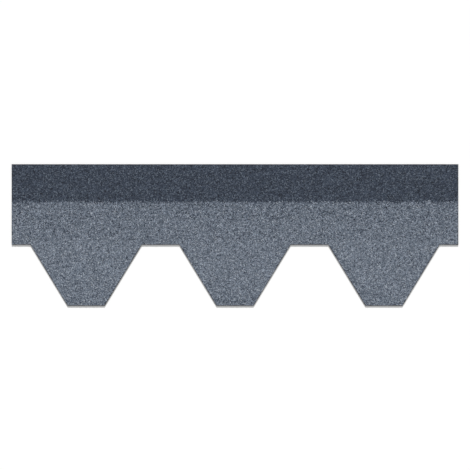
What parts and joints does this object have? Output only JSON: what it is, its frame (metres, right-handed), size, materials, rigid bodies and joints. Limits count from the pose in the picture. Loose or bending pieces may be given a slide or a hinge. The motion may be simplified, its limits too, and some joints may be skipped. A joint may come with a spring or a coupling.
{
  "type": "hexagonal asphalt shingle strip",
  "caption": "Flat granule-faced asphalt roofing strip with trapezoid tabs along its lower edge; overlapping courses lay up as a field of hexagons.",
  "frame": {"origin": "middle of the underside, under the centre of the strip's outline box", "axes": "+X along the course, which is the strip's length; +Y up the roof slope, so the tabs point to -Y; +Z out of the granule face"},
  "size_m": [1, 0.317, 0.003],
  "materials": {
    "slate_granules": "matte",
    "shadow_granules": "matte",
    "asphalt_sheet": "matte"
  },
  "bodies": {
    "root": {"shingle_strip": "slate_granules"}
  },
  "joints": []
}
